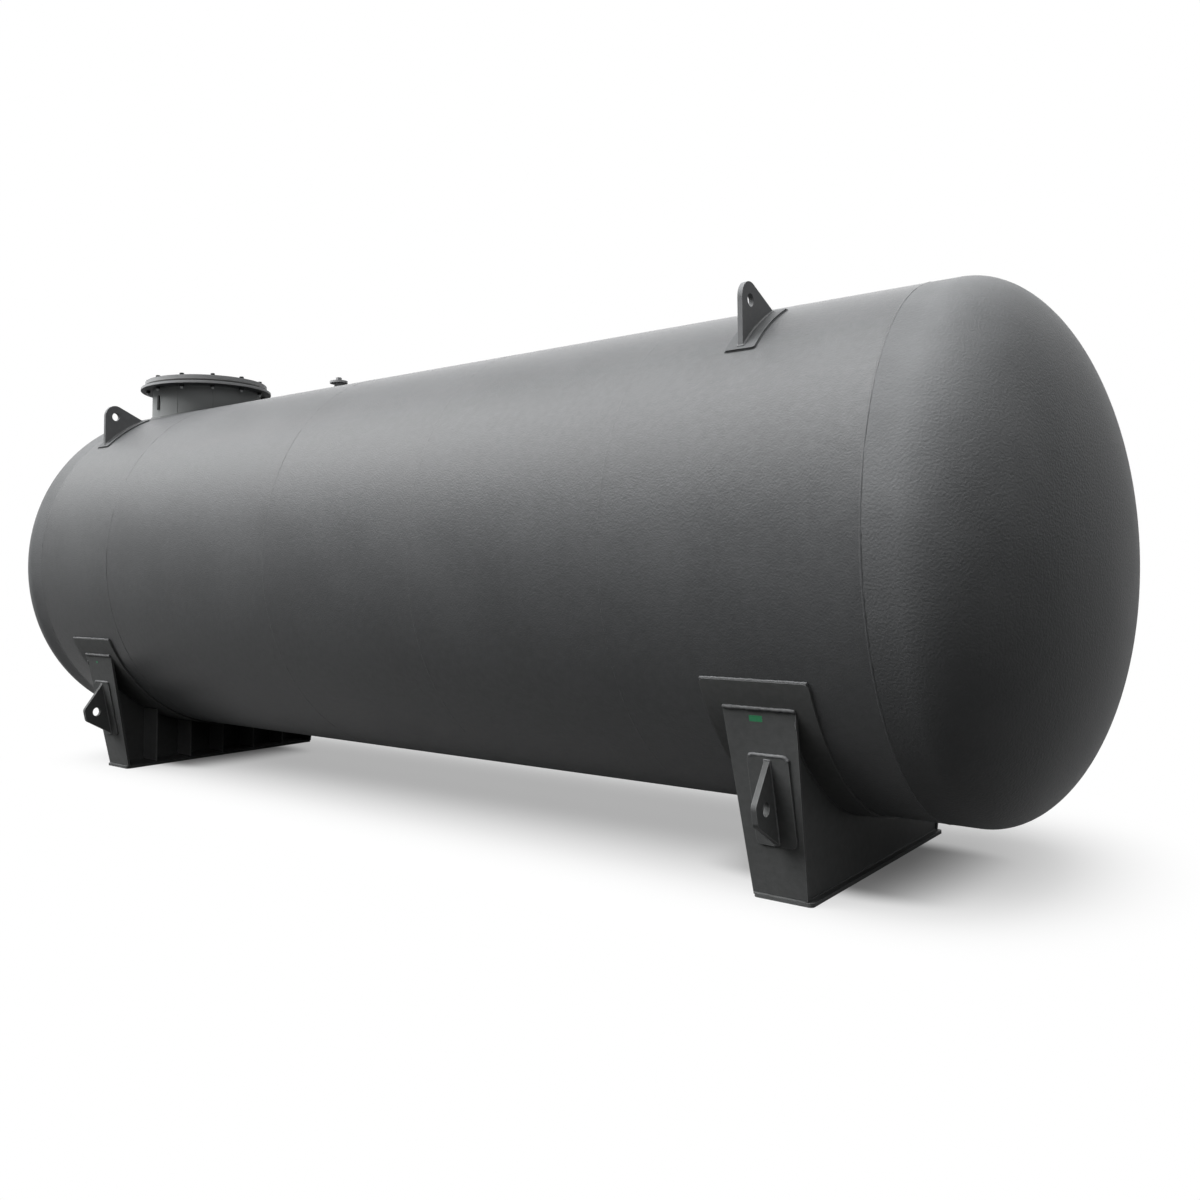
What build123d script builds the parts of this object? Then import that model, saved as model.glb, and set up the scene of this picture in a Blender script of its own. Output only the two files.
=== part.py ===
from build123d import *
import math
import os

# Vessel: outer radius, plate thickness, clear height under it.
shell_radius = 1450
shell_wall = 12
ground_clearance = 310

# Shell rolled from three equal plates, then a wide and a narrow one at the manway end.
full_course_width = 1381
wide_course_width = 2003
short_course_width = 1053

# Elliptical heads with a straight flange up to the girth seam.
head_depth = 659
head_flange = 158

# Clearance left where a curved plate lies on another.
fit_gap = 0.3

# Manway on the crown, its neck just short of where the rear head starts to curve.
manway_setback = 5
manway_rise = 195
manway_neck_radius = 500
manway_neck_wall = 14
manway_flange_radius = 610
manway_flange_thickness = 28
manway_gasket_thickness = 5
manway_cover_radius = 570
manway_cover_thickness = 55
manway_edge_break = 4

# Small flanged nozzle with a plug on the crown.
nozzle_from_manway = 1880
nozzle_radius = 38
nozzle_bore_radius = 22
nozzle_rise = 92
nozzle_flange_radius = 76
nozzle_flange_thickness = 18
plug_radius = 26
plug_height = 32

# Lifting lugs: one plate across the vessel on a curved pad, four in all.
# Angles are from straight up, places along the vessel from the head seams.
lug_front_from_seam = 774
lug_rear_from_seam = 230
lug_thickness = 28
lug_hole_deg = 34.2
lug_hole_rise = 155
lug_hole_radius = 36
lug_crown_radius = 100
lug_inner_deg = 25.3
lug_pad_width = 168
lug_pad_thickness = 12
lug_pad_start_deg = 24.2
lug_pad_end_deg = 44.3
pad_corner_radius = 12

# Saddles: distance in from the head seam, then each plate.
saddle_from_seam = 595
wear_width = 570
wear_thickness = 14
wear_half_angle_deg = 63.6
wear_corner_radius = 30
base_width = 312
base_shift = 14
base_half_length = 1025
base_thickness = 20
base_corner_radius = 25
end_plate_thickness = 20
end_plate_setback = 8
end_plate_foot_width = 286
end_plate_top_deg = 57.5
end_plate_top_width = 382
web_thickness = 16
web_inset = 10
cope_radius = 45
rib_count = 5
rib_spacing = 352
rib_depth = 200
rib_thickness = 14
rib_snipe = 30

# Tie-down eyes on the saddle ends, each on a rounded doubler.
doubler_width = 214
doubler_height = 466
doubler_thickness = 10
doubler_corner_radius = 30
doubler_foot = 275
eye_shift = 20
eye_thickness = 28
eye_foot = 285
eye_height = 435
eye_reach = 210
eye_nose_low = 174
eye_nose_length = 97
eye_nose_radius = 40
eye_hole_radius = 36
eye_hole_reach = 106

shell_length = 3 * full_course_width + wide_course_width + short_course_width
seam_x = shell_length / 2
tangent_x = seam_x + head_flange
axis_height = shell_radius + ground_clearance
manway_x = manway_neck_radius + manway_setback - tangent_x
nozzle_x = manway_x + nozzle_from_manway
lug_front_x = seam_x - lug_front_from_seam
lug_rear_x = lug_rear_from_seam - seam_x
lug_seat_radius = shell_radius + lug_pad_thickness + 2 * fit_gap
saddle_x = seam_x - saddle_from_seam
wear_inner_radius = shell_radius + fit_gap
wear_outer_radius = wear_inner_radius + wear_thickness
saddle_cut_radius = wear_outer_radius + fit_gap
end_plate_foot_y = base_half_length - end_plate_setback
end_plate_top_y = wear_outer_radius * math.sin(math.radians(end_plate_top_deg))
end_plate_top_z = axis_height - wear_outer_radius * math.cos(math.radians(end_plate_top_deg))
end_plate_rise = end_plate_top_z - base_thickness
end_plate_lean = end_plate_top_y - end_plate_foot_y
end_plate_slant = math.hypot(end_plate_rise, end_plate_lean)
web_outer_x = end_plate_foot_width / 2 - web_inset
web_inner_x = web_outer_x - web_thickness
manway_flange_z = axis_height + shell_radius + manway_rise
nozzle_top_z = axis_height + shell_radius + nozzle_rise


def axis_cylinder(radius, length):
    return Pos(0, 0, axis_height) * Rot(0, 90, 0) * Cylinder(radius, length)


def upright_cylinder(radius, x, low, high):
    return Pos(x, 0, (low + high) / 2) * Cylinder(radius, high - low)


def across(face, x, thickness):
    # Face drawn in Y and Z, thickened along the vessel about x.
    return Pos(x - thickness / 2, 0, 0) * extrude(Plane.YZ * face, thickness)


def vessel_head(depth, radius, flange):
    # Solid of revolution inside an elliptical end and its flange.
    curve = EllipticalCenterArc((0, 0), depth, radius, start_angle=0, arc_size=90)
    back = Polyline((0, radius), (-flange, radius), (-flange, 0), (depth, 0))
    return revolve(make_face([curve, back]), Axis.X)


def front_head():
    outer = vessel_head(head_depth, shell_radius, head_flange)
    inner = vessel_head(head_depth - shell_wall, shell_radius - shell_wall, head_flange)
    return Pos(tangent_x, 0, axis_height) * (outer - inner)


def manway_opening():
    radius = manway_neck_radius - manway_neck_wall
    return upright_cylinder(radius, manway_x, axis_height, manway_flange_z)


def shell_course(start, width):
    tube = axis_cylinder(shell_radius, width) - axis_cylinder(shell_radius - shell_wall, width)
    return Pos(start + width / 2, 0, 0) * tube


def shell_courses():
    widths = [short_course_width, wide_course_width] + 3 * [full_course_width]
    start = -seam_x
    courses = []
    for width in widths:
        courses.append(shell_course(start, width))
        start += width
    courses[0] -= manway_opening()
    return courses


def manway_neck():
    low = axis_height + shell_radius / 2
    tube = upright_cylinder(manway_neck_radius, manway_x, low, manway_flange_z)
    bore = upright_cylinder(manway_neck_radius - manway_neck_wall, manway_x, low, manway_flange_z)
    return tube - bore - axis_cylinder(shell_radius + fit_gap, 2 * tangent_x)


def manway_flange():
    top = manway_flange_z + manway_flange_thickness
    ring = upright_cylinder(manway_flange_radius, manway_x, manway_flange_z, top)
    ring = chamfer(ring.edges().filter_by(GeomType.CIRCLE), manway_edge_break)
    return ring - manway_opening().moved(Pos(0, 0, manway_flange_thickness))


def manway_gasket():
    low = manway_flange_z + manway_flange_thickness
    high = low + manway_gasket_thickness
    ring = upright_cylinder(manway_cover_radius - manway_edge_break, manway_x, low, high)
    return ring - upright_cylinder(manway_neck_radius - manway_neck_wall, manway_x, low, high)


def manway_cover():
    low = manway_flange_z + manway_flange_thickness + manway_gasket_thickness
    disc = upright_cylinder(manway_cover_radius, manway_x, low, low + manway_cover_thickness)
    return chamfer(disc.edges().filter_by(GeomType.CIRCLE), manway_edge_break)


def crown_nozzle():
    low = axis_height + shell_radius / 2
    stem = upright_cylinder(nozzle_radius, nozzle_x, low, nozzle_top_z)
    stem -= axis_cylinder(shell_radius + fit_gap, shell_length)
    underside = nozzle_top_z - nozzle_flange_thickness
    flange = upright_cylinder(nozzle_flange_radius, nozzle_x, underside, nozzle_top_z)
    return stem + flange - upright_cylinder(nozzle_bore_radius, nozzle_x, low, nozzle_top_z)


def crown_plug():
    head = Pos(nozzle_x, 0, nozzle_top_z) * extrude(RegularPolygon(plug_radius, 6), plug_height)
    return chamfer(head.edges().group_by(Axis.Z)[-1], plug_height / 12)


def curved_pad(x, width, thickness, start_deg, end_deg, corner):
    # Plate rolled on to the vessel; angles run from straight up towards -Y.
    inner = shell_radius + fit_gap
    outer = inner + thickness
    start = math.radians(start_deg)
    end = math.radians(end_deg)
    middle = (start + end) / 2

    def at(radius, angle):
        return (-radius * math.sin(angle), axis_height + radius * math.cos(angle))

    rim = ThreePointArc(at(outer, start), at(outer, middle), at(outer, end))
    side = Line(at(outer, end), at(inner, end))
    seat = ThreePointArc(at(inner, end), at(inner, middle), at(inner, start))
    close = Line(at(inner, start), at(outer, start))
    plate = across(make_face([rim, side, seat, close]), x, width)
    corners = [edge for edge in plate.edges().filter_by(GeomType.LINE) if edge.length < 2 * thickness]
    return fillet(corners, corner)


def lug_pad(x):
    return curved_pad(
        x, lug_pad_width, lug_pad_thickness, lug_pad_start_deg, lug_pad_end_deg, pad_corner_radius
    )


def lifting_lug(x):
    # Outer edge upright, crown edge running from the rounded top down to the pad.
    hole_radius = shell_radius + lug_hole_rise
    hole_y = hole_radius * math.sin(math.radians(lug_hole_deg))
    hole_z = hole_radius * math.cos(math.radians(lug_hole_deg))
    foot_y = lug_seat_radius * math.sin(math.radians(lug_inner_deg))
    foot_z = lug_seat_radius * math.cos(math.radians(lug_inner_deg))
    run = hole_y - foot_y
    drop = foot_z - hole_z
    angle = math.atan2(drop, run) + math.acos(lug_crown_radius / math.hypot(run, drop))
    tangent_y = hole_y - lug_crown_radius * math.cos(angle)
    tangent_z = hole_z + lug_crown_radius * math.sin(angle)
    outer_y = hole_y + lug_crown_radius
    outline = [(-outer_y, hole_z), (-outer_y, shell_radius / 2), (-foot_y, shell_radius / 2)]
    outline += [(-foot_y, foot_z), (-tangent_y, tangent_z), (-hole_y, hole_z)]
    body = make_face(Polyline(*outline, close=True))
    eye = Pos(-hole_y, hole_z) * Circle(lug_crown_radius)
    hole = Pos(-hole_y, hole_z) * Circle(lug_hole_radius)
    plate = across(Pos(0, axis_height) * (body + eye - hole), x, lug_thickness)
    return plate - axis_cylinder(lug_seat_radius, 4 * tangent_x)


def wear_plate():
    start = 180 - wear_half_angle_deg
    end = 180 + wear_half_angle_deg
    return curved_pad(saddle_x, wear_width, wear_thickness, start, end, wear_corner_radius)


def base_plate():
    plate = Box(base_width, 2 * base_half_length, base_thickness)
    plate = fillet(plate.edges().filter_by(Axis.Z), base_corner_radius)
    return Pos(saddle_x + base_shift, 0, base_thickness / 2) * plate


def end_plane():
    # Outer face of the near end plate: local x along the vessel, local y up the slope.
    lean = math.degrees(math.atan2(end_plate_lean, end_plate_rise))
    return Pos(saddle_x, -end_plate_foot_y, base_thickness) * Rot(90 + lean, 0, 0)


def above_base():
    depth = 4 * base_half_length
    return Pos(saddle_x, 0, base_thickness + depth / 2) * Box(depth, depth, depth)


def saddle_cut():
    return Pos(saddle_x, 0, 0) * axis_cylinder(saddle_cut_radius, 2 * wear_width)


def end_plate():
    margin = 3 * end_plate_thickness
    flare = (end_plate_top_width - end_plate_foot_width) / 2 / end_plate_slant * margin
    low = end_plate_foot_width / 2 - flare
    high = end_plate_top_width / 2 + flare
    top = end_plate_slant + margin
    outline = make_face(Polyline((-low, -margin), (low, -margin), (high, top), (-high, top), close=True))
    plate = end_plane() * extrude(outline, -end_plate_thickness)
    return (plate & above_base()) - saddle_cut()


def saddle_web():
    # Plate between the end plates, cut round to the wear plate with a cope at each horn.
    inset = end_plate_thickness * end_plate_slant / end_plate_rise
    foot = end_plate_foot_y - inset
    horn = end_plate_top_y - inset
    outline = [(-foot, base_thickness), (foot, base_thickness)]
    outline += [(horn, end_plate_top_z), (-horn, end_plate_top_z)]
    face = make_face(Polyline(*outline, close=True))
    face -= Pos(0, axis_height) * Circle(saddle_cut_radius)
    for side in (-1, 1):
        face -= Pos(side * (horn - cope_radius / 2), end_plate_top_z - cope_radius) * Circle(cope_radius)
    pieces = across(face, saddle_x + web_outer_x - web_thickness / 2, web_thickness)
    return pieces.solids().sort_by(SortBy.VOLUME)[-1]


def saddle_rib(y):
    low = base_thickness
    high = axis_height
    edge = web_inner_x - rib_depth
    outline = [(web_inner_x, low + rib_snipe), (web_inner_x, high), (edge, high), (edge, low)]
    outline += [(web_inner_x - rib_snipe, low)]
    face = make_face(Polyline(*outline, close=True))
    plate = extrude(Plane.XZ * face, rib_thickness / 2, both=True)
    return (Pos(saddle_x, y, 0) * plate) - saddle_cut()


def doubler():
    plate = extrude(RectangleRounded(doubler_width, doubler_height, doubler_corner_radius), doubler_thickness)
    return end_plane() * Pos(eye_shift, doubler_foot + doubler_height / 2, 0) * plate


def tie_down_eye():
    low = eye_foot + eye_nose_low
    high = low + eye_nose_length
    outline = [
        (doubler_thickness, eye_foot),
        (eye_reach, low),
        (eye_reach, high),
        (doubler_thickness, eye_foot + eye_height),
    ]
    face = make_face(Polyline(*outline, close=True))
    nose = face.vertices().sort_by(Axis.X)[-2:]
    face = fillet(nose, eye_nose_radius)
    face -= Pos(eye_hole_reach, (low + high) / 2) * Circle(eye_hole_radius)
    upright = Plane((0, 0, 0), x_dir=(0, 0, 1), z_dir=(-1, 0, 0))
    plate = extrude(upright * face, eye_thickness / 2, both=True)
    return end_plane() * Pos(eye_shift, 0, 0) * plate


def saddle():
    pieces = {"wear_plate": wear_plate(), "base_plate": base_plate(), "web": saddle_web()}
    near = {"end_plate": end_plate(), "doubler": doubler(), "tie_down_eye": tie_down_eye()}
    for name, piece in near.items():
        pieces["near_" + name] = piece
        pieces["far_" + name] = piece.mirror(Plane.XZ)
    for index in range(rib_count):
        pieces[f"rib_{index + 1}"] = saddle_rib((index - (rib_count - 1) / 2) * rib_spacing)
    return pieces


def all_pieces():
    pieces = {}
    for index, course in enumerate(shell_courses()):
        pieces[f"shell_course_{index + 1}"] = course
    pieces["front_head"] = front_head()
    pieces["rear_head"] = Rot(0, 0, 180) * front_head() - manway_opening()
    pieces["manway_neck"] = manway_neck()
    pieces["manway_flange"] = manway_flange()
    pieces["manway_gasket"] = manway_gasket()
    pieces["manway_cover"] = manway_cover()
    pieces["crown_nozzle"] = crown_nozzle()
    pieces["crown_plug"] = crown_plug()
    for end, x in (("front", lug_front_x), ("rear", lug_rear_x)):
        for kind, piece in (("lug_pad", lug_pad(x)), ("lifting_lug", lifting_lug(x))):
            pieces[f"{end}_near_{kind}"] = piece
            pieces[f"{end}_far_{kind}"] = piece.mirror(Plane.XZ)
    for name, piece in saddle().items():
        pieces["front_saddle_" + name] = piece
        pieces["rear_saddle_" + name] = piece.mirror(Plane.YZ)
    return pieces


os.makedirs("parts", exist_ok=True)
for name, piece in all_pieces().items():
    solid = piece.solids().sort_by(SortBy.VOLUME)[-1]
    export_step(solid, f"parts/{name}.step")
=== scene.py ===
import bpy
import math
import random
from mathutils import Matrix, Vector


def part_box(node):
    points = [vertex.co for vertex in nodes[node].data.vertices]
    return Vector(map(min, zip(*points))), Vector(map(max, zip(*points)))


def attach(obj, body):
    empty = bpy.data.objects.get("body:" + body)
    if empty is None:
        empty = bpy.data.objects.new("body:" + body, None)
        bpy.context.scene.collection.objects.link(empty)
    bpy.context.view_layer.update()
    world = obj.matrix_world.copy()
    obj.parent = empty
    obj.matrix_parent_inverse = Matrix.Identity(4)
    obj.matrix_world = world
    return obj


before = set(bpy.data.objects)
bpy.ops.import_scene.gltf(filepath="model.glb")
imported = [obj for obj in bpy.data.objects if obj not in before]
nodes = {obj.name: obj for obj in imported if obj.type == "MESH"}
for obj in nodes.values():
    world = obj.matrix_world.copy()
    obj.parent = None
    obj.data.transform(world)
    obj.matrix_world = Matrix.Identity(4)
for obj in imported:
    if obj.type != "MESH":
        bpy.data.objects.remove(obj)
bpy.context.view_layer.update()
print("frame loaded:", len(nodes), "nodes")


# the tank's own lines, read off the frame so that every added piece lands on them
shellLow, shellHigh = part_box("shell_course_2")
shellRadius = (shellHigh.y - shellLow.y) / 2
axisZ = (shellHigh.z + shellLow.z) / 2
neckLow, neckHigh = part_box("manway_neck")
neckRadius = (neckHigh.y - neckLow.y) / 2
manwayX = (neckHigh.x + neckLow.x) / 2
flangeLow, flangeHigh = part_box("manway_flange")
coverLow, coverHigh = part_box("manway_cover")
nozzleLow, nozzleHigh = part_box("crown_nozzle")
nozzleX = (nozzleLow.x + nozzleHigh.x) / 2
sameSpot = 1e-5  # metres within which two points count as one
creaseTurn = math.radians(35)  # edges sharper than this stay sharp in the shading


def hexColour(code):
    # sRGB hex to linear
    parts = [int(code[i:i + 2], 16) / 255 for i in (1, 3, 5)]
    return tuple(((c + 0.055) / 1.055) ** 2.4 if c > 0.04045 else c / 12.92 for c in parts) + (1,)


def addNode(tree, kind, settings, links):
    # one node: its settings by name, its inputs by socket, each a link or a constant
    node = tree.nodes.new(kind)
    for key, value in settings.items():
        setattr(node, key, value)
    for socket, source in links.items():
        if isinstance(source, bpy.types.NodeSocket):
            tree.links.new(source, node.inputs[socket])
        else:
            node.inputs[socket].default_value = source
    return node


def newMaterial(name):
    material = bpy.data.materials.new(name)
    material.use_nodes = True
    material.node_tree.nodes.clear()
    return material, material.node_tree


def perMetre(millimetres):
    # noise scale for a pattern of that size, on coordinates in metres
    return 1000 / millimetres


# two-pack coat sprayed on blasted plate: semi-matt, a fine orange peel, clouds and a mottle of dry spray.
# sizes and depths are in millimetres. real peel is about 4 mm, drawn 2 to 4 times coarser so that it
# still shows at this distance
shellFinish = {"colour": "#414243", "cloud": "#48494a", "cloudSize": 700, "mottle": 40, "mottleShare": 0.4,
               "peel": 10, "peelDepth": 1.9, "wave": 420, "waveDepth": 2.2, "rough": 0.40,
               "roughSpread": 0.08, "specular": 0.14, "edgeWidth": 0, "paintedSideLight": None}
# the heads' coat is lighter than the shell's: painted light that lifts them to the shell's tone where they
# lack its sheen
headFinishPaintedLight = dict(shellFinish, colour="#4e4f50", cloud="#565758", peel=12, peelDepth=2.6, mottle=22,
                  mottleShare=0.15, rough=0.5, specular=0.05)
# edge: the plate edges' tone, partly rubbed wear and partly painted light
saddleFinish = dict(shellFinish, colour="#464747", cloud="#4e4f4f", peel=14, peelDepth=0.6, wave=160,
                    waveDepth=0.5, rough=0.55, specular=0.06, edgeWidth=5, edge="#6c6d6d")
# the lugs' coat is lighter than the saddles': painted light on lug faces that stand in shade
lugFinishPaintedLight = dict(saddleFinish, colour="#626364", cloud="#6a6b6c", edge="#5c5d5e")
padFinish = dict(saddleFinish, colour="#464748", cloud="#4e4f50", edge="#5a5b5c")
# the wear plates' coat is lighter than the saddles': painted light on faces turned out and down
wearPlateFinishPaintedLight = dict(saddleFinish, colour="#505151", cloud="#585959")
# the ribs' coat is lighter than the saddles': painted light that lifts the deep shade under the tank
ribFinishPaintedLight = dict(saddleFinish, colour="#6a6b6b", cloud="#727373", edge="#8c8d8d")
# neck and fittings: their upright faces are made paler, as painted light from the low sky
neckFinish = dict(saddleFinish, edgeWidth=0, paintedSideLight="#868888")
fittingFinish = dict(saddleFinish, colour="#3e3f40", cloud="#464748", edge="#707172", paintedSideLight="#949596")
# the weld coat is lighter than the shell's: a painted highlight on beads that face the light
beadFinishPaintedHighlight = dict(shellFinish, colour="#58595a", cloud="#666768", peel=9, peelDepth=2.4, rough=0.34)
boltFinish = dict(saddleFinish, colour="#1e1f1f", cloud="#292a2a", peel=8, peelDepth=0.2, rough=0.38,
                  edgeWidth=0)
nutFinish = dict(boltFinish, colour="#b4b5b6", cloud="#c8c9ca")  # dull zinc on the bare bolt ends


def sprayedCoat(name, finish):
    material, tree = newMaterial(name)
    place = addNode(tree, "ShaderNodeTexCoord", {}, {}).outputs["Object"]
    cloud = addNode(tree, "ShaderNodeTexNoise", {}, {
        "Vector": place, "Scale": perMetre(finish["cloudSize"]), "Detail": 5.0, "Roughness": 0.6})
    grain = addNode(tree, "ShaderNodeTexNoise", {}, {
        "Vector": place, "Scale": perMetre(finish["peel"]), "Detail": 2.0, "Roughness": 0.5})
    wave = addNode(tree, "ShaderNodeTexNoise", {}, {
        "Vector": place, "Scale": perMetre(finish["wave"]), "Detail": 2.0})
    mottle = addNode(tree, "ShaderNodeTexNoise", {}, {
        "Vector": place, "Scale": perMetre(finish["mottle"]), "Detail": 3.0, "Roughness": 0.6})
    blotched = addNode(tree, "ShaderNodeMix", {"data_type": "FLOAT"}, {
        0: finish["mottleShare"], 2: cloud.outputs["Fac"], 3: mottle.outputs["Fac"]})
    clouded = addNode(tree, "ShaderNodeMapRange", {}, {
        "Value": blotched.outputs[0], "From Min": 0.4, "From Max": 0.6})
    colour = addNode(tree, "ShaderNodeMix", {"data_type": "RGBA"}, {
        0: clouded.outputs["Result"], 6: hexColour(finish["colour"]), 7: hexColour(finish["cloud"])})
    if finish["edgeWidth"]:
        # plate edges take their own tone, partly rubbed wear and partly painted light matched to how an
        # edge catches the light, told by how far a rounded edge's normal leaves the flat one
        flat = addNode(tree, "ShaderNodeNewGeometry", {}, {}).outputs["Normal"]
        rounded = addNode(tree, "ShaderNodeBevel", {"samples": 6}, {"Radius": finish["edgeWidth"] / 1000})
        facing = addNode(tree, "ShaderNodeVectorMath", {"operation": "DOT_PRODUCT"}, {
            0: rounded.outputs["Normal"], 1: flat})
        edgeWearAndLight = addNode(tree, "ShaderNodeMapRange", {}, {
            "Value": facing.outputs["Value"], "From Min": 0.99, "From Max": 0.8})
        colour = addNode(tree, "ShaderNodeMix", {"data_type": "RGBA"}, {
            0: edgeWearAndLight.outputs["Result"], 6: colour.outputs[2], 7: hexColour(finish["edge"])})
    if finish["paintedSideLight"]:
        # painted light: only the upright faces are made paler, standing in for the bright low sky that
        # lights them
        normal = addNode(tree, "ShaderNodeNewGeometry", {}, {}).outputs["Normal"]
        upward = addNode(tree, "ShaderNodeSeparateXYZ", {}, {"Vector": normal})
        tilt = addNode(tree, "ShaderNodeMath", {"operation": "ABSOLUTE"}, {0: upward.outputs["Z"]})
        upright = addNode(tree, "ShaderNodeMapRange", {}, {
            "Value": tilt.outputs["Value"], "From Min": 0.6, "From Max": 0.2})
        colour = addNode(tree, "ShaderNodeMix", {"data_type": "RGBA"}, {
            0: upright.outputs["Result"], 6: colour.outputs[2], 7: hexColour(finish["paintedSideLight"])})
    rough = addNode(tree, "ShaderNodeMapRange", {}, {
        "Value": cloud.outputs["Fac"], "From Min": 0.3, "From Max": 0.7,
        "To Min": finish["rough"], "To Max": finish["rough"] + finish["roughSpread"]})
    waveBump = addNode(tree, "ShaderNodeBump", {}, {
        "Height": wave.outputs["Fac"], "Strength": 1.0, "Distance": finish["waveDepth"] / 1000})
    peelBump = addNode(tree, "ShaderNodeBump", {}, {
        "Height": grain.outputs["Fac"], "Strength": 1.0, "Distance": finish["peelDepth"] / 1000,
        "Normal": waveBump.outputs["Normal"]})
    shader = addNode(tree, "ShaderNodeBsdfPrincipled", {}, {
        "Base Color": colour.outputs[2], "Roughness": rough.outputs["Result"], "IOR": 1.5,
        "Specular IOR Level": finish["specular"], "Normal": peelBump.outputs["Normal"]})
    addNode(tree, "ShaderNodeOutputMaterial", {}, {"Surface": shader.outputs["BSDF"]})
    return material


shellCoat = sprayedCoat("anthraciteCoatOnShell", shellFinish)
headCoatPaintedLight = sprayedCoat("anthraciteCoatOnHeadsPaintedLight", headFinishPaintedLight)
saddleCoat = sprayedCoat("anthraciteCoatOnSaddles", saddleFinish)
lugCoatPaintedLight = sprayedCoat("anthraciteCoatOnLugsPaintedLight", lugFinishPaintedLight)
padCoat = sprayedCoat("anthraciteCoatOnLugPads", padFinish)
wearPlateCoatPaintedLight = sprayedCoat("anthraciteCoatOnWearPlatesPaintedLight", wearPlateFinishPaintedLight)
ribCoatPaintedLight = sprayedCoat("anthraciteCoatOnRibsPaintedLight", ribFinishPaintedLight)
neckCoat = sprayedCoat("anthraciteCoatOnNeck", neckFinish)
fittingCoat = sprayedCoat("anthraciteCoatOnFittings", fittingFinish)
beadCoatPaintedHighlight = sprayedCoat("anthraciteCoatOnWeldsPaintedHighlight", beadFinishPaintedHighlight)
boltCoat = sprayedCoat("anthraciteCoatOnBolts", boltFinish)
nutCoat = sprayedCoat("dullZincOnNuts", nutFinish)

# sheet rubber gasket: black and matt, with a slight bloom. printed vinyl film: even green, a little
# faded in patches, a low sheen
gasketFinish = {"colour": "#151515", "patch": "#242424", "size": 30, "rough": 0.85, "specular": 0.5}
vinylFinish = {"colour": "#276443", "patch": "#2f7a52", "size": 12, "rough": 0.45, "specular": 0.2}


def patchySkin(name, finish):
    material, tree = newMaterial(name)
    place = addNode(tree, "ShaderNodeTexCoord", {}, {}).outputs["Object"]
    patches = addNode(tree, "ShaderNodeTexNoise", {}, {"Vector": place, "Scale": perMetre(finish["size"])})
    colour = addNode(tree, "ShaderNodeMix", {"data_type": "RGBA"}, {
        0: patches.outputs["Fac"], 6: hexColour(finish["colour"]), 7: hexColour(finish["patch"])})
    shader = addNode(tree, "ShaderNodeBsdfPrincipled", {}, {
        "Base Color": colour.outputs[2], "Roughness": finish["rough"],
        "Specular IOR Level": finish["specular"]})
    addNode(tree, "ShaderNodeOutputMaterial", {}, {"Surface": shader.outputs["BSDF"]})
    return material


gasket = patchySkin("blackSheetRubber", gasketFinish)
vinyl = patchySkin("greenVinylFilm", vinylFinish)


def coatFor(name):
    if name == "manway_gasket":
        return gasket
    if name.endswith("_head"):
        return headCoatPaintedLight
    if name.startswith("shell"):
        return shellCoat
    if "saddle_rib" in name:
        return ribCoatPaintedLight
    if name.endswith("wear_plate"):
        return wearPlateCoatPaintedLight
    if "saddle" in name:
        return saddleCoat
    if name.endswith("lug_pad"):
        return padCoat
    if name.endswith("lifting_lug"):
        return lugCoatPaintedLight
    if name == "manway_neck":
        return neckCoat
    return fittingCoat


for name, node in nodes.items():
    node.data.materials.clear()
    node.data.materials.append(coatFor(name))
print("coats assigned")


def deselect():
    if bpy.context.mode != "OBJECT":
        bpy.ops.object.mode_set(mode="OBJECT")
    bpy.ops.object.select_all(action="DESELECT")


def pickOnly(pieces):
    # these pieces selected and nothing else, the first one active
    deselect()
    for piece in pieces:
        piece.select_set(True)
    bpy.context.view_layer.objects.active = pieces[0]


def editAll():
    bpy.ops.object.mode_set(mode="EDIT")
    bpy.ops.mesh.select_all(action="SELECT")


def settle(piece, name, material):
    # a finished piece: origin at the world's, one coat, riding on the tank
    pickOnly([piece])
    bpy.ops.object.transform_apply(location=True, rotation=True, scale=True)
    piece.name = name
    piece.data.name = name
    piece.data.materials.clear()
    piece.data.materials.append(material)
    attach(piece, "root")


def weldRun(route, radius, closed=False):
    # one run of weld: a path with a round section, made a mesh
    deselect()
    bpy.ops.curve.primitive_nurbs_path_add(location=(0, 0, 0))
    run = bpy.context.object
    run.data.splines.clear()
    line = run.data.splines.new("POLY")
    line.points.add(len(route) - 1)
    for point, spot in zip(line.points, route):
        point.co = (*spot, 1)
    line.use_cyclic_u = closed
    run.data.bevel_depth = radius
    run.data.bevel_resolution = 1
    run.data.use_fill_caps = True
    bpy.ops.object.convert(target="MESH")
    return bpy.context.object


# hand welds: lumps as long as the weave of the torch, drawn on the bright cap beads finer and deeper
weldSkin = {"lump": 0.03, "depth": 0.0035, "step": 0.015, "beadLump": 0.014, "beadDepth": 0.008,
            "beadStep": 0.006}
lumps = bpy.data.textures.new("weldLumps", "CLOUDS")
lumps.noise_scale = weldSkin["lump"]
beadLumps = bpy.data.textures.new("beadLumps", "CLOUDS")
beadLumps.noise_scale = weldSkin["beadLump"]


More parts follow.
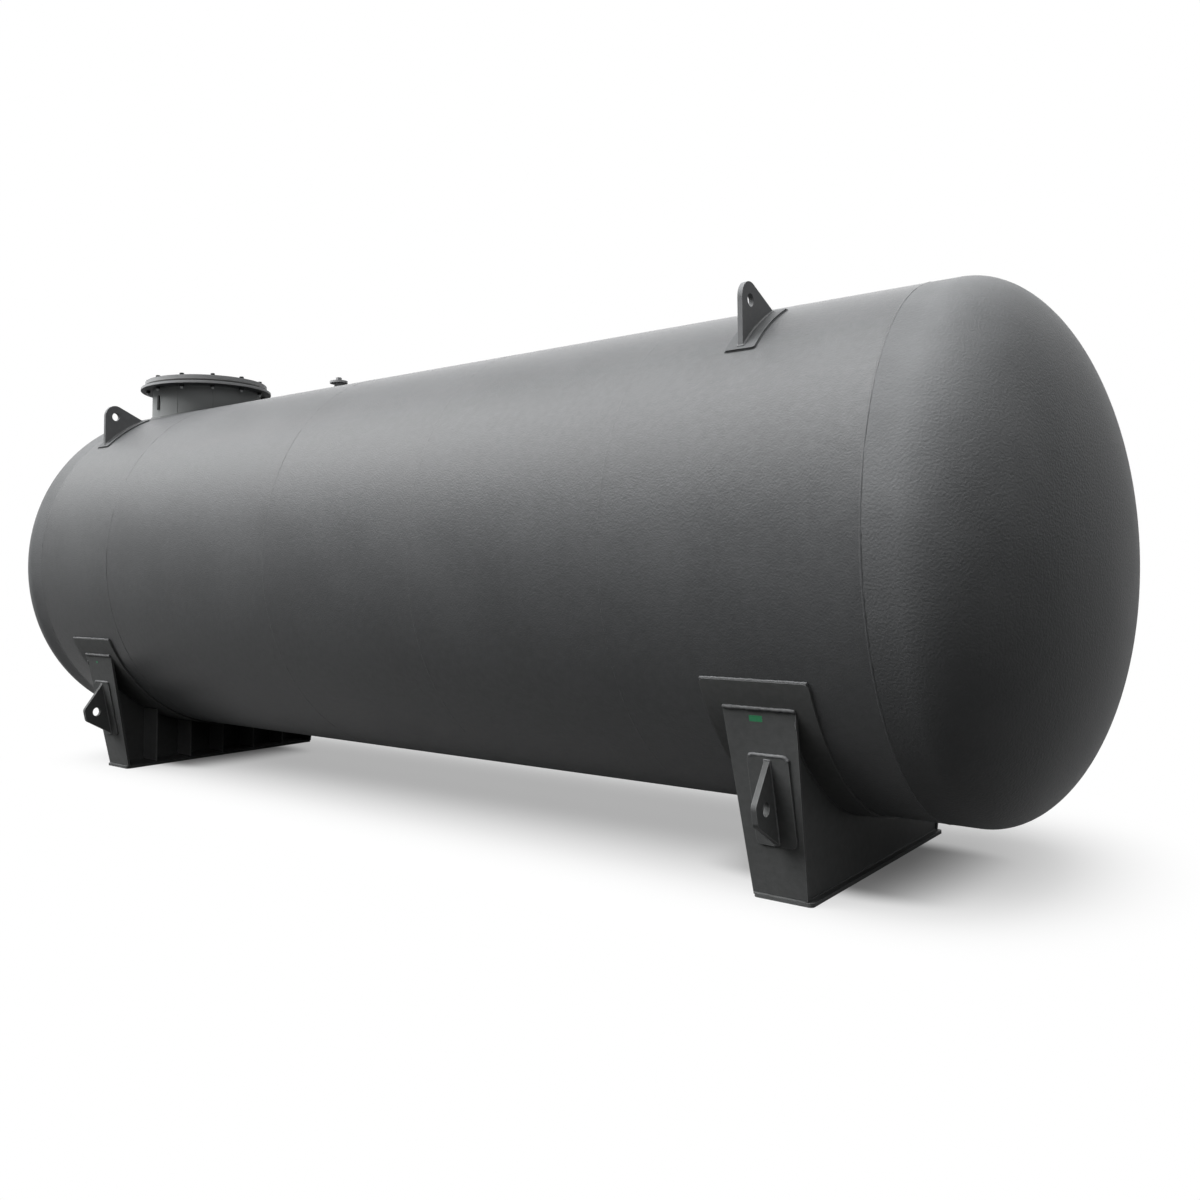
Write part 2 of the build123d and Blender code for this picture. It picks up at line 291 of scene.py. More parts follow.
def joinRuns(runs, name, coat=beadCoatPaintedHighlight, depth=weldSkin["depth"], ripple=lumps):
    pickOnly(runs)
    if len(runs) > 1:
        bpy.ops.object.join()
    weld = bpy.context.object
    # the runs' end caps are sewn on, so that every run is closed
    editAll()
    bpy.ops.mesh.remove_doubles(threshold=sameSpot)
    bpy.ops.mesh.fill_holes(sides=0)
    bpy.ops.mesh.select_all(action="SELECT")
    bpy.ops.mesh.normals_make_consistent(inside=False)
    bpy.ops.object.mode_set(mode="OBJECT")
    bpy.ops.object.modifier_add(type="DISPLACE")
    lumpy = weld.modifiers[-1]
    lumpy.texture = ripple
    lumpy.texture_coords = "GLOBAL"
    lumpy.strength = depth
    bpy.ops.object.modifier_apply(modifier=lumpy.name)
    bpy.ops.object.shade_smooth()
    settle(weld, name, coat)


def joinBeads(runs, name):
    # bright cap beads, lumpier than the rest
    joinRuns(runs, name, beadCoatPaintedHighlight, weldSkin["beadDepth"], beadLumps)


def along(start, end, step=weldSkin["step"]):
    start, end = Vector(start), Vector(end)
    count = max(2, int((end - start).length / step))
    return [start.lerp(end, i / count) for i in range(count + 1)]


def onShell(x, degrees, radius):
    # point round the vessel, degrees from straight up towards the near side
    turn = math.radians(degrees)
    return Vector((x, -radius * math.sin(turn), axisZ + radius * math.cos(turn)))


def roundShell(x, first, last, radius, step=weldSkin["step"]):
    count = max(4, int(abs(math.radians(last - first)) * radius / step))
    return [onShell(x, first + (last - first) * i / count, radius) for i in range(count + 1)]


# girth seams: a low flat cap of weld round the shell at each plate edge
seamValues = {"halfWidth": 0.006, "heights": (0.0010, 0.0014, 0.0009, 0.0006, 0.0004, 0.0016),
              "segments": 900, "section": 8, "waver": 3.0, "sunk": 0.006}
courseBoxes = [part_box(f"shell_course_{i}") for i in (1, 2, 3, 4, 5)]
seamPlaces = [courseBoxes[0][0].x] + [high.x for low, high in courseBoxes]


def girthSeam(x, height):
    deselect()
    bpy.ops.mesh.primitive_torus_add(
        major_radius=shellRadius, minor_radius=height, major_segments=seamValues["segments"],
        minor_segments=seamValues["section"], location=(x, 0, axisZ), rotation=(0, math.pi / 2, 0))
    seam = bpy.context.object
    bpy.ops.object.transform_apply(location=True, rotation=True, scale=True)
    editAll()
    bpy.ops.transform.resize(
        value=(seamValues["halfWidth"] / height, 1, 1), center_override=(x, 0, axisZ))
    bpy.ops.mesh.select_all(action="DESELECT")
    bpy.ops.object.mode_set(mode="OBJECT")
    # no seam inside the manway's neck: whole rings of it go, so that the cut ends close
    halfGap = math.sqrt(max(0, (neckRadius - seamValues["sunk"]) ** 2 - (x - manwayX) ** 2))
    gapTurn = math.asin(halfGap / shellRadius)
    for vertex in seam.data.vertices:
        vertex.select = abs(math.atan2(vertex.co.y, vertex.co.z - axisZ)) < gapTurn
    bpy.ops.object.mode_set(mode="EDIT")
    bpy.ops.mesh.delete(type="VERT")
    bpy.ops.object.mode_set(mode="OBJECT")
    return seam


for number, (x, height) in enumerate(zip(seamPlaces, seamValues["heights"])):
    joinRuns([girthSeam(x, height)], f"girthSeam_{number + 1}", shellCoat,
             height * seamValues["waver"])
print("girth seams welded:", len(seamPlaces))


# manway: fillet at the neck's foot, fillet under the flange, the neck's two upright seams
manwayWelds = {"foot": 0.010, "footOut": 0.002, "top": 0.006, "topDown": 0.001, "points": 240,
               "seam": 0.004, "seamOut": -0.001, "seamTurns": (-67, -29)}
nozzleWeld = {"foot": 0.006, "footOut": 0.001, "points": 32, "pipeRadius": 0.038}


def onCrown(radius, x, turn, out):
    # where an upright pipe of that radius meets the shell's crown
    spotX = x + (radius + out) * math.cos(turn)
    spotY = (radius + out) * math.sin(turn)
    return Vector((spotX, spotY, axisZ + math.sqrt(shellRadius ** 2 - spotY ** 2)))


def ringTurns(count):
    return [2 * math.pi * i / count for i in range(count)]


footRing = [onCrown(neckRadius, manwayX, t, manwayWelds["footOut"])
            for t in ringTurns(manwayWelds["points"])]
topZ = flangeLow.z - manwayWelds["topDown"]
topRing = [Vector((manwayX + neckRadius * math.cos(t), neckRadius * math.sin(t), topZ))
           for t in ringTurns(manwayWelds["points"])]
neckRuns = [weldRun(footRing, manwayWelds["foot"], True), weldRun(topRing, manwayWelds["top"], True)]
for degrees in manwayWelds["seamTurns"]:
    low = onCrown(neckRadius, manwayX, math.radians(degrees), manwayWelds["seamOut"])
    neckRuns.append(weldRun(along(low, (low.x, low.y, flangeLow.z)), manwayWelds["seam"]))
joinRuns(neckRuns, "manwayWelds", neckCoat)
nozzleRing = [onCrown(nozzleWeld["pipeRadius"], nozzleX, t, nozzleWeld["footOut"])
              for t in ringTurns(nozzleWeld["points"])]
joinRuns([weldRun(nozzleRing, nozzleWeld["foot"], True)], "nozzleWeld")
print("manway and nozzle welded")


# lifting lugs: thin fillet round each pad, a heavier one each side of the lug
lugWelds = {"pad": 0.0035, "padStart": 24.2, "padEnd": 44.3, "padOut": 0.002, "padThick": 0.0123,
            "lug": 0.007, "lugStart": 25.3, "lugEnd": 43.2, "lugOut": 0.001}
for end in ("front", "rear"):
    for side, sign in (("near", 1), ("far", -1)):
        low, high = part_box(f"{end}_{side}_lug_pad")
        lugLow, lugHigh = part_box(f"{end}_{side}_lifting_lug")
        first, last = sign * lugWelds["padStart"], sign * lugWelds["padEnd"]
        edge = shellRadius + lugWelds["padOut"]
        round1 = roundShell(low.x, first, last, edge)
        round2 = roundShell(high.x, last, first, edge)
        top = along(round2[-1], round1[0])
        foot = along(round1[-1], round2[0])
        fillet = weldRun(round1 + foot[1:-1] + round2 + top[1:-1], lugWelds["pad"], True)
        joinRuns([fillet], f"{end}{side.title()}PadWeld", padCoat)
        seat = shellRadius + lugWelds["padThick"]
        first, last = sign * lugWelds["lugStart"], sign * lugWelds["lugEnd"]
        round1 = roundShell(lugLow.x - lugWelds["lugOut"], first, last, seat, weldSkin["beadStep"])
        round2 = roundShell(lugHigh.x + lugWelds["lugOut"], last, first, seat, weldSkin["beadStep"])
        fillet = weldRun(round1 + round2, lugWelds["lug"], True)
        joinBeads([fillet], f"{end}{side.title()}LugWelds")
print("lugs welded")


# saddles: the end plate's slope and the plates on it, front saddle, near side
saddle = {"x": 3.0045, "footY": 1.017, "footZ": 0.02, "leanSin": 0.22292, "leanCos": 0.97484,
          "wearHalf": 0.285, "wearTurn": 63.6, "wearOuter": 1.4643, "wearCorner": 0.03,
          "slant": 0.9778, "topHalf": 0.191, "footHalf": 0.143, "webOut": 0.133, "webIn": 0.117,
          "webTurn": 53, "ribs": 5, "ribGap": 0.352, "ribDepth": 0.2, "ribHalf": 0.007, "ribSnipe": 0.03}
plate = {"middle": 0.02, "half": 0.107, "low": 0.275, "high": 0.741, "corner": 0.03, "thick": 0.01}
eye = {"low": 0.285, "high": 0.72, "half": 0.014}
# radius of each run, then how far it stands off or stops short. the bead over the doubler starts and
# stops part of the way round its upper corners, in degrees
saddleWelds = {"wearTop": 0.008, "wearSide": 0.0035, "endTop": 0.010, "endFoot": 0.006, "plateTop": 0.010,
               "plateSide": 0.0025, "eye": 0.006, "web": 0.006, "rib": 0.006, "copeGlint": 0.004,
               "copeGlintLow": 0.888, "copeGlintHigh": 0.922, "copeGlintIn": 0.006, "plateOut": 0.003, "eyeOut": 0.001,
               "endOut": 0.002, "endShort": 0.002, "footShort": 0.004, "wearTopOut": 0.003,
               "wearShort": 0.006, "wearSideOut": 0.002, "webLow": 0.02, "webHigh": 0.86,
               "webBack": -0.021, "webShort": 0.03, "webStand": 0.002, "ribStand": 0.001,
               "overFrom": 125, "overTo": 20}


def onEnd(end, side, u, s, n):
    # end +1 front, side -1 near: u along the vessel, s up the slope, n out from the plate
    y = saddle["footY"] + s * saddle["leanSin"] + n * saddle["leanCos"]
    z = saddle["footZ"] + s * saddle["leanCos"] - n * saddle["leanSin"]
    return Vector((end * (saddle["x"] + u), side * y, z))


def cornerTurn(middleU, middleS, radius, first, last, count=6):
    # points round a rounded corner, in the end plate's own plane
    turns = [math.radians(first + (last - first) * i / count) for i in range(count + 1)]
    return [(middleU + radius * math.cos(t), middleS + radius * math.sin(t)) for t in turns]


def onEndRoute(end, side, path, n, step=weldSkin["step"]):
    # points along a path of (u, s) on the end plate, at n from its face
    spots = [onEnd(end, side, u, s, n) for u, s in path]
    route = [spots[0]]
    for a, b in zip(spots, spots[1:]):
        route += along(a, b, step)[1:]
    return route


plateLeft, plateRight = plate["middle"] - plate["half"], plate["middle"] + plate["half"]
plateCorner = plate["corner"]
plateShoulder = plate["high"] - plateCorner


def endBeads(end, side):
    # the bright caps: over the doubler, round the eye, over the end plate, and a short bright run at the
    # cope that is a painted highlight standing in for light on the notch's upward edge
    over = (cornerTurn(plateLeft + plateCorner, plateShoulder, plateCorner, saddleWelds["overFrom"], 90)
            + cornerTurn(plateRight - plateCorner, plateShoulder, plateCorner, 90, saddleWelds["overTo"]))
    eyeLeft, eyeRight = plate["middle"] - eye["half"], plate["middle"] + eye["half"]
    around = [(eyeLeft, eye["low"]), (eyeLeft, eye["high"]), (eyeRight, eye["high"]),
              (eyeRight, eye["low"]), (eyeLeft, eye["low"])]
    top = saddle["topHalf"] - saddleWelds["endShort"]
    copeGlint = top - saddleWelds["copeGlintIn"]
    beads = [(over, saddleWelds["plateOut"], "plateTop"),
             (around, plate["thick"] + saddleWelds["eyeOut"], "eye"),
             ([(-top, saddle["slant"]), (top, saddle["slant"])], saddleWelds["endOut"], "endTop"),
             ([(copeGlint, saddleWelds["copeGlintLow"]), (copeGlint, saddleWelds["copeGlintHigh"])], 0, "copeGlint")]
    return [weldRun(onEndRoute(end, side, path, n, weldSkin["beadStep"]), saddleWelds[size])
            for path, n, size in beads]


def endWelds(end, side):
    # the thin runs: round the rest of the doubler, at the plate's foot and along the web
    under = (cornerTurn(plateRight - plateCorner, plate["low"] + plateCorner, plateCorner, 0, -90)
             + cornerTurn(plateLeft + plateCorner, plate["low"] + plateCorner, plateCorner, 270, 180))
    rest = [(plateRight, plateShoulder)] + under + [(plateLeft, plateShoulder)]
    foot = saddle["footHalf"] - saddleWelds["footShort"]
    thin = [(rest, saddleWelds["plateOut"], "plateSide"),
            ([(-foot, 0), (foot, 0)], saddleWelds["endOut"], "endFoot")]
    for u in (saddle["webOut"], saddle["webIn"]):
        path = [(u, saddleWelds["webLow"]), (u, saddleWelds["webHigh"])]
        thin.append((path, saddleWelds["webBack"], "web"))
    return [weldRun(onEndRoute(end, side, path, n), saddleWelds[size]) for path, n, size in thin]


def wearBeads(end):
    # one straight bright cap over each upper edge of the wear plate
    reach = saddle["wearHalf"] - saddleWelds["wearShort"]
    edge = shellRadius + saddleWelds["wearTopOut"]
    runs = []
    for side in (1, -1):
        limit = side * (180 - saddle["wearTurn"])
        ends = [onShell(end * saddle["x"] + u, limit, edge) for u in (-reach, reach)]
        runs.append(weldRun(along(*ends, weldSkin["beadStep"]), saddleWelds["wearTop"]))
    return runs


def wearWelds(end):
    # thin fillets round the corners and down both sides
    corner = saddle["wearCorner"]
    cornerDeg = math.degrees(corner / shellRadius)
    edge = shellRadius + saddleWelds["wearSideOut"]
    first = 180 - saddle["wearTurn"] + cornerDeg
    runs = []
    for way in (-1, 1):
        x = end * saddle["x"] + way * saddle["wearHalf"]
        bends = []
        for side in (1, -1):
            turned = cornerTurn(x - way * corner, 0, corner, 90, 90 - way * 90)
            bends.append([onShell(u, side * (first - s / corner * cornerDeg), edge) for u, s in turned])
        route = bends[0] + roundShell(x, first, 360 - first, edge)[1:-1] + bends[1][::-1]
        runs.append(weldRun(route, saddleWelds["wearSide"]))
    return runs


def wearUnder(y):
    return axisZ - math.sqrt(saddle["wearOuter"] ** 2 - y ** 2)


def webWelds(end):
    # both sides of the web, then both sides of each rib
    runs = []
    stand = saddleWelds["webStand"]
    foot = saddle["footY"] - saddleWelds["webShort"]
    footZ = saddle["footZ"] + stand
    first, last = 180 - saddle["webTurn"], 180 + saddle["webTurn"]
    for u, out in ((saddle["webOut"], stand), (saddle["webIn"], -stand)):
        x = end * (saddle["x"] + u + out)
        runs.append(weldRun(roundShell(x, first, last, saddle["wearOuter"] + stand), saddleWelds["web"]))
        runs.append(weldRun(along((x, -foot, footZ), (x, foot, footZ)), saddleWelds["web"]))
    inner = end * (saddle["x"] + saddle["webIn"])
    outer = end * (saddle["x"] + saddle["webIn"] - saddle["ribDepth"])
    snipe = saddle["ribSnipe"]
    stand = saddleWelds["ribStand"]
    for number in range(saddle["ribs"]):
        for side in (-1, 1):
            y = (number - saddle["ribs"] // 2) * saddle["ribGap"] + side * (saddle["ribHalf"] + stand)
            low, high = saddle["footZ"] + stand, wearUnder(y) - stand
            for start, stop in (((outer, y, low), (inner - end * snipe, y, low)),
                                ((inner, y, low + snipe), (inner, y, high)),
                                ((outer, y, high), (inner, y, high))):
                runs.append(weldRun(along(start, stop), saddleWelds["rib"]))
    return runs


for end, endName in ((1, "front"), (-1, "rear")):
    for side, sideName in ((-1, "Near"), (1, "Far")):
        joinBeads(endBeads(end, side), f"{endName}{sideName}EndBeads")
        joinRuns(endWelds(end, side), f"{endName}{sideName}EndWelds", saddleCoat)
    joinBeads(wearBeads(end), f"{endName}WearBeads")
    joinRuns(wearWelds(end), f"{endName}WearWelds", saddleCoat)
    joinRuns(webWelds(end), f"{endName}WebWelds", saddleCoat)
print("saddles welded")


# the gasket's squeezed edge, standing out under the cover's rim as a dark line
lip = {"out": 0.010, "high": 0.024, "segments": 192, "section": 10}
coverRadius = (coverHigh.y - coverLow.y) / 2
lipMiddle = (manwayX, 0, flangeHigh.z + lip["high"] / 2)
deselect()
bpy.ops.mesh.primitive_torus_add(
    major_radius=coverRadius, minor_radius=lip["out"], major_segments=lip["segments"],
    minor_segments=lip["section"], location=lipMiddle)
gasketEdge = bpy.context.object
editAll()
bpy.ops.transform.resize(value=(1, 1, lip["high"] / 2 / lip["out"]), center_override=lipMiddle)
bpy.ops.object.mode_set(mode="OBJECT")
bpy.ops.object.shade_smooth()
settle(gasketEdge, "gasketEdge", gasket)
print("gasket edge laid")


# manway bolts: hex head and washer on the cover, nut and shank end under the flange
bolt = {"count": 12, "circle": 0.54, "head": 0.0208, "headHigh": 0.015, "washer": 0.022,
        "washerHigh": 0.003, "washerRim": 0.001, "nutHigh": 0.019, "shank": 0.012, "shankOut": 0.016,
        "shankIn": 0.002, "shankRim": 0.002, "chamfer": 0.0025, "roundness": 24, "firstTurn": 0.0}
boltX = manwayX + bolt["circle"]
nutTop = flangeLow.z - bolt["washerHigh"]
nutLow = nutTop - bolt["nutHigh"]


def uprightBar(sides, radius, low, height):
    deselect()
    bpy.ops.mesh.primitive_cylinder_add(
        vertices=sides, radius=radius, depth=height, location=(boltX, 0, low + height / 2))
    bpy.ops.object.transform_apply(location=True, rotation=True, scale=True)
    return bpy.context.object


def hexBlock(low, height, brokenZ):
    # hexagon with the end face at that height broken like a turned bolt head
    block = uprightBar(6, bolt["head"], low, height)
    for vertex in block.data.vertices:
        vertex.select = abs(vertex.co.z - brokenZ) < sameSpot
    for edge in block.data.edges:
        edge.select = all(block.data.vertices[i].select for i in edge.vertices)
    for face in block.data.polygons:
        face.select = all(block.data.vertices[i].select for i in face.vertices)
    bpy.ops.object.mode_set(mode="EDIT")
    bpy.ops.mesh.bevel(offset=bolt["chamfer"], segments=2, affect="EDGES")
    bpy.ops.object.mode_set(mode="OBJECT")
    return block


def roundBlock(radius, low, height, rim):
    # short round bar with its rims broken
    block = uprightBar(bolt["roundness"], radius, low, height)
    for edge in block.data.edges:
        ends = [block.data.vertices[i].co.z for i in edge.vertices]
        edge.select = abs(ends[0] - ends[1]) < sameSpot
    bpy.ops.object.mode_set(mode="EDIT")
    bpy.ops.mesh.bevel(offset=rim, segments=2, affect="EDGES")
    bpy.ops.object.mode_set(mode="OBJECT")
    return block


def manwayBolt():
    headLow = coverHigh.z + bolt["washerHigh"]
    shankHigh = bolt["shankOut"] + bolt["shankIn"]
    pickOnly([
        roundBlock(bolt["washer"], coverHigh.z, bolt["washerHigh"], bolt["washerRim"]),
        hexBlock(headLow, bolt["headHigh"], headLow + bolt["headHigh"]),
        roundBlock(bolt["washer"], nutTop, bolt["washerHigh"], bolt["washerRim"]),
        hexBlock(nutLow, bolt["nutHigh"], nutLow),
        roundBlock(bolt["shank"], nutLow - bolt["shankOut"], shankHigh, bolt["shankRim"])])
    bpy.ops.object.join()
    made = bpy.context.object
    editAll()
    bpy.ops.mesh.normals_make_consistent(inside=False)
    bpy.ops.object.mode_set(mode="OBJECT")
    bpy.ops.object.shade_smooth_by_angle(angle=creaseTurn)
    return made


bolts = [manwayBolt()]
for number in range(1, bolt["count"]):
    pickOnly(bolts[:1])
    bpy.ops.object.duplicate(linked=False)
    bolts.append(bpy.context.object)
random.seed(4)
centre = Matrix.Translation((boltX, 0, 0))
around = Matrix.Translation((manwayX, 0, 0))
for number, piece in enumerate(bolts):
    turn = math.radians(bolt["firstTurn"] + 360 / bolt["count"] * number)
    twist = Matrix.Rotation(random.uniform(0, math.pi / 3), 4, "Z")
    piece.data.transform(centre @ twist @ centre.inverted())
    piece.data.transform(around @ Matrix.Rotation(turn, 4, "Z") @ around.inverted())
    settle(piece, f"manwayBolt_{number + 1:02d}", boltCoat)
    piece.data.materials.append(nutCoat)
    for face in piece.data.polygons:
        face.material_index = 1 if face.center.z < nutLow else 0  # only the shank's end is bare
print("manway bolted:", len(bolts))


# plain blank green film labels, one on each near end plate: end, place along and up it, width, height
label = {"front": (1, -0.0195, 0.9245, 0.068, 0.031), "rear": (-1, 0.041, 0.912, 0.026, 0.014),
         "thick": 0.0006, "corner": 0.002}
for endName in ("front", "rear"):
    end, u, slope, width, height = label[endName]
    deselect()
    bpy.ops.mesh.primitive_plane_add(size=1, location=(0, 0, 0))
    sticker = bpy.context.object
    editAll()
    bpy.ops.transform.resize(value=(width, height, 1), center_override=(0, 0, 0))
    bpy.ops.mesh.bevel(offset=label["corner"], segments=3, affect="VERTICES")
    bpy.ops.mesh.select_all(action="SELECT")
    bpy.ops.mesh.extrude_region_move(TRANSFORM_OT_translate={"value": (0, 0, label["thick"])})
    bpy.ops.object.mode_set(mode="OBJECT")
    foot = onEnd(end, -1, u, slope, 0)
    alongU = onEnd(end, -1, u + 1, slope, 0) - foot
    upS = onEnd(end, -1, u, slope + 1, 0) - foot
    outN = onEnd(end, -1, u, slope, 1) - foot
    seat = Matrix((alongU, upS, outN)).transposed().to_4x4()
    sticker.data.transform(Matrix.Translation(foot) @ seat)
    editAll()
    bpy.ops.mesh.normals_make_consistent(inside=False)
    bpy.ops.object.mode_set(mode="OBJECT")
    settle(sticker, f"{endName}PlainLabel", vinyl)
print("labels stuck on")


# small flat bar on the side of the manway's neck, its upper end round
neckBar = {"turn": -95, "low": 3.198, "high": 3.334, "half": 0.015, "thick": 0.014, "sunk": 0.004,
           "round": 0.98, "roundSteps": 6}
deselect()
bpy.ops.mesh.primitive_cube_add(size=1, location=(0, 0, 0))
bar = bpy.context.object
editAll()
bpy.ops.transform.resize(value=(neckBar["thick"], 2 * neckBar["half"], neckBar["high"] - neckBar["low"]),
                         center_override=(0, 0, 0))
bpy.ops.mesh.select_all(action="DESELECT")
bpy.ops.object.mode_set(mode="OBJECT")
for edge in bar.data.edges:
    ends = [bar.data.vertices[i].co for i in edge.vertices]
    edge.select = min(spot.z for spot in ends) > 0 and abs(ends[0].x - ends[1].x) > sameSpot
bpy.ops.object.mode_set(mode="EDIT")
bpy.ops.mesh.bevel(
    offset=neckBar["half"] * neckBar["round"], segments=neckBar["roundSteps"], affect="EDGES")
bpy.ops.object.mode_set(mode="OBJECT")
barOut = Matrix.Translation((neckRadius + neckBar["thick"] / 2 - neckBar["sunk"], 0, 0))
barUp = Matrix.Translation((manwayX, 0, (neckBar["low"] + neckBar["high"]) / 2))
bar.data.transform(barUp @ Matrix.Rotation(math.radians(neckBar["turn"]), 4, "Z") @ barOut)
bpy.ops.object.shade_smooth_by_angle(angle=creaseTurn)
settle(bar, "neckFlatBar", boltCoat)
print("flat bar on the neck")


# pale floor: white to the eye and to gloss, with the tank's shadow; a duller grey to the light it throws
# back.
# the white fades in past the shadow and gives way again close to a base plate, so the shadow's reach and a
# contact shade by each base plate are painted, and near the tank painted light lifts the shadow
stage = {"floorSize": 240, "floorDrop": -0.0005, "floorSeen": "#a2a2a2", "floorGlow": 0.4,
         "floorBounce": "#262625", "fadeNear": 0.1, "fadeFar": 1.15, "shadowY": 0.45, "shadowEnd": 3.3,
         "spanX": 1.2, "spanY": 2.1, "baseX": 3.0185, "baseHalf": 0.156, "baseReach": 0.5,
         "paintedContactShadeFar": 0.6, "paintedContactShade": 0.2, "paintedContactShadeSquash": 2.0,
         "skyFrom": (-0.2, -0.2, 0.9), "skyTop": 0.15, "skyLow": 0.0, "skyDip": -0.3}


def straightLook(tree):
    # 1 for the eye and for what gloss or glass shows, 0 for the light that is thrown back
    path = addNode(tree, "ShaderNodeLightPath", {}, {})
    cameraOrGloss = addNode(tree, "ShaderNodeMath", {"operation": "MAXIMUM"}, {
        0: path.outputs["Is Camera Ray"], 1: path.outputs["Is Glossy Ray"]})
    looked = addNode(tree, "ShaderNodeMath", {"operation": "MAXIMUM"}, {
        0: cameraOrGloss.outputs["Value"], 1: path.outputs["Is Transmission Ray"]})
    return path, looked.outputs["Value"]


def pastBox(tree, place, middle, halfSize):
    # how far a point lies outside a box round that middle, along each axis
    offset = addNode(tree, "ShaderNodeVectorMath", {"operation": "SUBTRACT"}, {0: place, 1: middle})
    folded = addNode(tree, "ShaderNodeVectorMath", {"operation": "ABSOLUTE"}, {0: offset.outputs["Vector"]})
    past = addNode(tree, "ShaderNodeVectorMath", {"operation": "SUBTRACT"}, {
        0: folded.outputs["Vector"], 1: halfSize})
    beyond = addNode(tree, "ShaderNodeVectorMath", {"operation": "MAXIMUM"}, {
        0: past.outputs["Vector"], 1: (0.0, 0.0, 0.0)})
    return beyond.outputs["Vector"]


def floorMaterial():
    material, tree = newMaterial("paleStudioFloor")
    place = addNode(tree, "ShaderNodeTexCoord", {}, {}).outputs["Object"]
    path, looked = straightLook(tree)
    # painted shadow: its reach is a mask. the shadow keeps its depth along the tank and fades past its ends
    # and sides, its middle a little to the far side, away from the main lamp
    beyond = pastBox(tree, place, (0.0, stage["shadowY"], 0.0), (stage["shadowEnd"], 0.0, 0.0))
    scaled = addNode(tree, "ShaderNodeVectorMath", {"operation": "DIVIDE"}, {
        0: beyond, 1: (stage["spanX"], stage["spanY"], 1.0)})
    reach = addNode(tree, "ShaderNodeVectorMath", {"operation": "LENGTH"}, {0: scaled.outputs["Vector"]})
    glow = addNode(tree, "ShaderNodeMath", {"operation": "MULTIPLY"}, {
        0: path.outputs["Is Camera Ray"], 1: stage["floorGlow"]})
    fade = addNode(tree, "ShaderNodeMapRange", {"interpolation_type": "SMOOTHSTEP"}, {
        "Value": reach.outputs["Value"], "From Min": stage["fadeNear"], "From Max": stage["fadeFar"],
        "To Min": glow.outputs["Value"], "To Max": 1.0})
    # painted contact shade round the base plates: the floor folded along both axes, so that one box stands
    # for both base plates
    mirrored = addNode(tree, "ShaderNodeVectorMath", {"operation": "ABSOLUTE"}, {0: place})
    clear = pastBox(tree, mirrored.outputs["Vector"], (stage["baseX"], 0.0, 0.0),
                    (stage["baseHalf"], stage["baseReach"], 0.0))
    gap = addNode(tree, "ShaderNodeVectorMath", {"operation": "MULTIPLY"}, {
        0: clear, 1: (1.0, stage["paintedContactShadeSquash"], 0.0)})
    away = addNode(tree, "ShaderNodeVectorMath", {"operation": "LENGTH"}, {0: gap.outputs["Vector"]})
    paintedContactShade = addNode(tree, "ShaderNodeMapRange", {"interpolation_type": "SMOOTHSTEP"}, {
        "Value": away.outputs["Value"], "From Max": stage["paintedContactShadeFar"], "To Min": stage["paintedContactShade"]})
    whiteness = addNode(tree, "ShaderNodeMath", {"operation": "MULTIPLY"}, {
        0: fade.outputs["Result"], 1: paintedContactShade.outputs["Result"]})
    seen = addNode(tree, "ShaderNodeBsdfDiffuse", {}, {"Color": hexColour(stage["floorSeen"])})
    white = addNode(tree, "ShaderNodeEmission", {}, {"Color": (1, 1, 1, 1), "Strength": 1.0})
    shown = addNode(tree, "ShaderNodeMixShader", {}, {
        0: whiteness.outputs["Value"], 1: seen.outputs["BSDF"], 2: white.outputs["Emission"]})
    bounce = addNode(tree, "ShaderNodeBsdfDiffuse", {}, {"Color": hexColour(stage["floorBounce"])})
    surface = addNode(tree, "ShaderNodeMixShader", {}, {
        0: looked, 1: bounce.outputs["BSDF"], 2: shown.outputs["Shader"]})
    addNode(tree, "ShaderNodeOutputMaterial", {}, {"Surface": surface.outputs["Shader"]})
    return material


deselect()
bpy.ops.mesh.primitive_plane_add(size=stage["floorSize"], location=(0, 0, stage["floorDrop"]))
floor = bpy.context.object
floor.name = "studioFloor"
floor.data.materials.append(floorMaterial())

# sky: white behind the tank, a soft overcast on it, brighter overhead
world = bpy.data.worlds.new("softStudioSky")
bpy.context.scene.world = world
world.use_nodes = True
sky = world.node_tree
sky.nodes.clear()
upward = addNode(sky, "ShaderNodeVectorMath", {"operation": "DOT_PRODUCT"}, {
    0: addNode(sky, "ShaderNodeTexCoord", {}, {}).outputs["Generated"], 1: stage["skyFrom"]})
level = addNode(sky, "ShaderNodeMapRange", {}, {
    "Value": upward.outputs["Value"], "From Min": stage["skyDip"], "From Max": 1.0,
    "To Min": stage["skyLow"], "To Max": stage["skyTop"]})
light = addNode(sky, "ShaderNodeBackground", {}, {
    "Color": (1, 1, 1, 1), "Strength": level.outputs["Result"]})
white = addNode(sky, "ShaderNodeBackground", {}, {"Color": (1, 1, 1, 1), "Strength": 1.0})
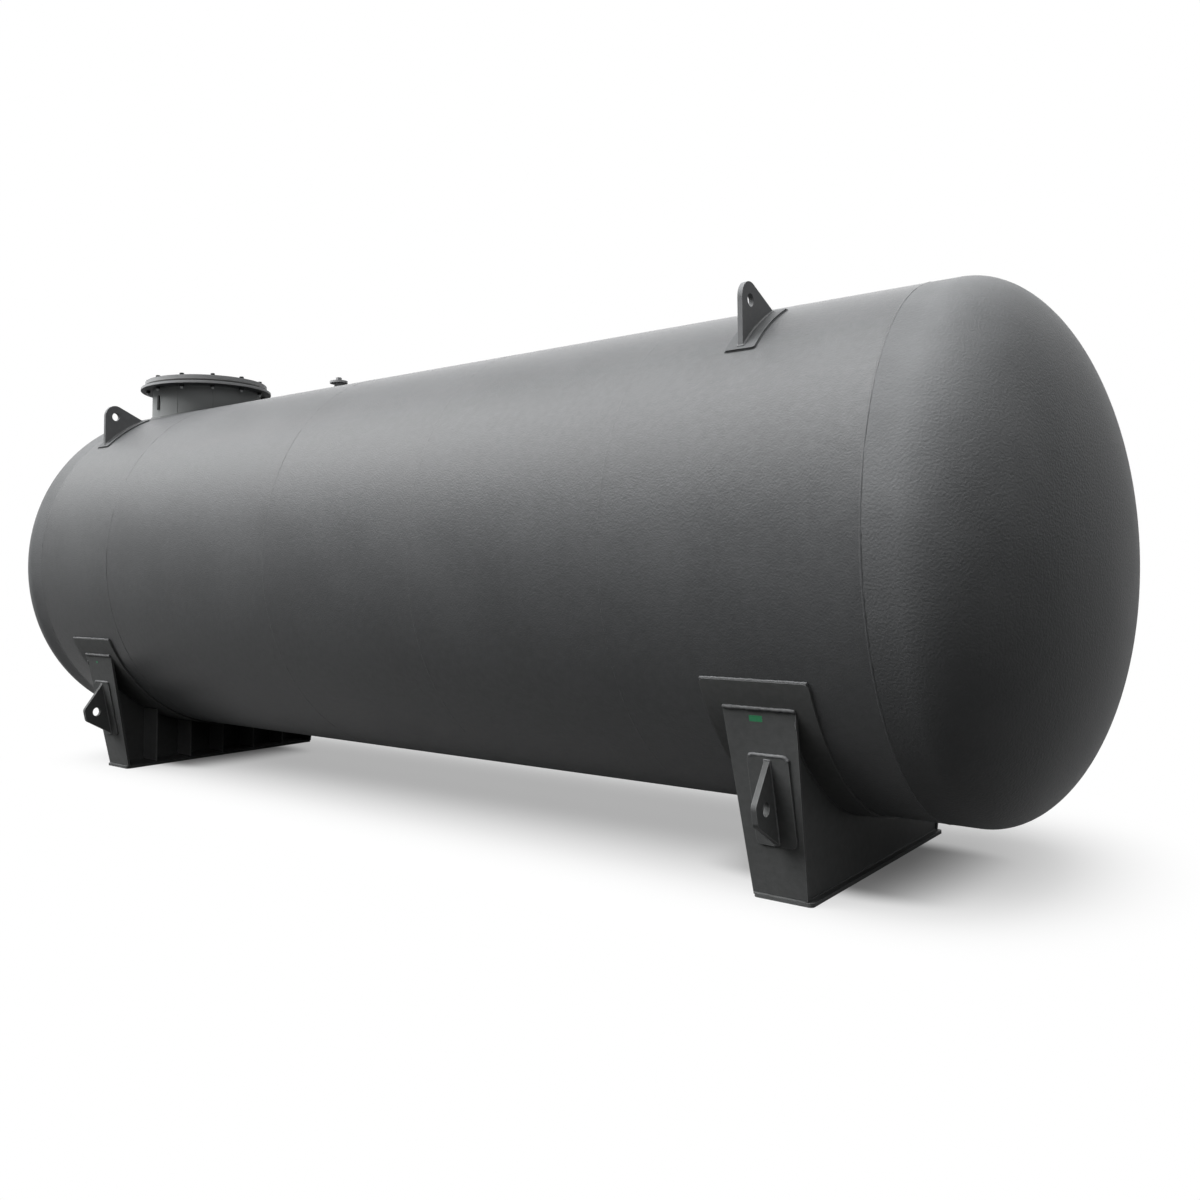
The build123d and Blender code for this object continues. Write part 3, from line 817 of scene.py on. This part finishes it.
mixed = addNode(sky, "ShaderNodeMixShader", {}, {
    0: straightLook(sky)[1], 1: light.outputs["Background"], 2: white.outputs["Background"]})
addNode(sky, "ShaderNodeOutputWorld", {}, {"Surface": mixed.outputs["Shader"]})

# soft lamps: a broad one high on the near side as wide as a bright overcast sky, a weaker one
# overhead, and weak fills in front, low down and on the far side
lampDistance = 12
softLamps = {"softNear": {"from": (-0.5, -0.4, 0.75), "spread": 50, "strength": 6.9},
             "softTop": {"from": (0.0, -0.08, 1.0), "spread": 40, "strength": 5.0},
             "softFront": {"from": (0.8, -0.3, 0.5), "spread": 40, "strength": 0.5},
             "softLow": {"from": (-0.6, -0.8, 0.2), "spread": 60, "strength": 0.4},
             "softFar": {"from": (-0.4, 0.85, 0.3), "spread": 60, "strength": 1.0}}
for name, values in softLamps.items():
    lamp = bpy.data.lights.new(name, "SUN")
    lamp.angle = math.radians(values["spread"])
    lamp.energy = values["strength"]
    holder = bpy.data.objects.new(name, lamp)
    bpy.context.scene.collection.objects.link(holder)
    holder.location = Vector(values["from"]) * lampDistance
    holder.rotation_euler = (-Vector(values["from"])).to_track_quat("-Z", "Y").to_euler()
print("stage lit")

# camera: eye height, close to the near head, looking along the tank; focal and middle in image pixels
view = {"at": (5.3104, -6.0919, 1.5824), "pitch": 3.2697, "yaw": 39.9858, "focal": 1059.174,
        "image": 1200, "middle": (480.0, 522.579), "sensor": 36, "far": 500}
camera = bpy.data.cameras.new("photoCamera")
camera.sensor_width = view["sensor"]
camera.lens = view["sensor"] * view["focal"] / view["image"]
camera.shift_x = (view["image"] / 2 - view["middle"][0]) / view["image"]
camera.shift_y = (view["middle"][1] - view["image"] / 2) / view["image"]
camera.clip_end = view["far"]
eyePoint = bpy.data.objects.new("photoCamera", camera)
bpy.context.scene.collection.objects.link(eyePoint)
eyePoint.location = view["at"]
eyePoint.rotation_euler = (math.radians(90 + view["pitch"]), 0, math.radians(view["yaw"]))
bpy.context.scene.camera = eyePoint
bpy.context.scene.view_settings.view_transform = "Standard"
print("camera placed")
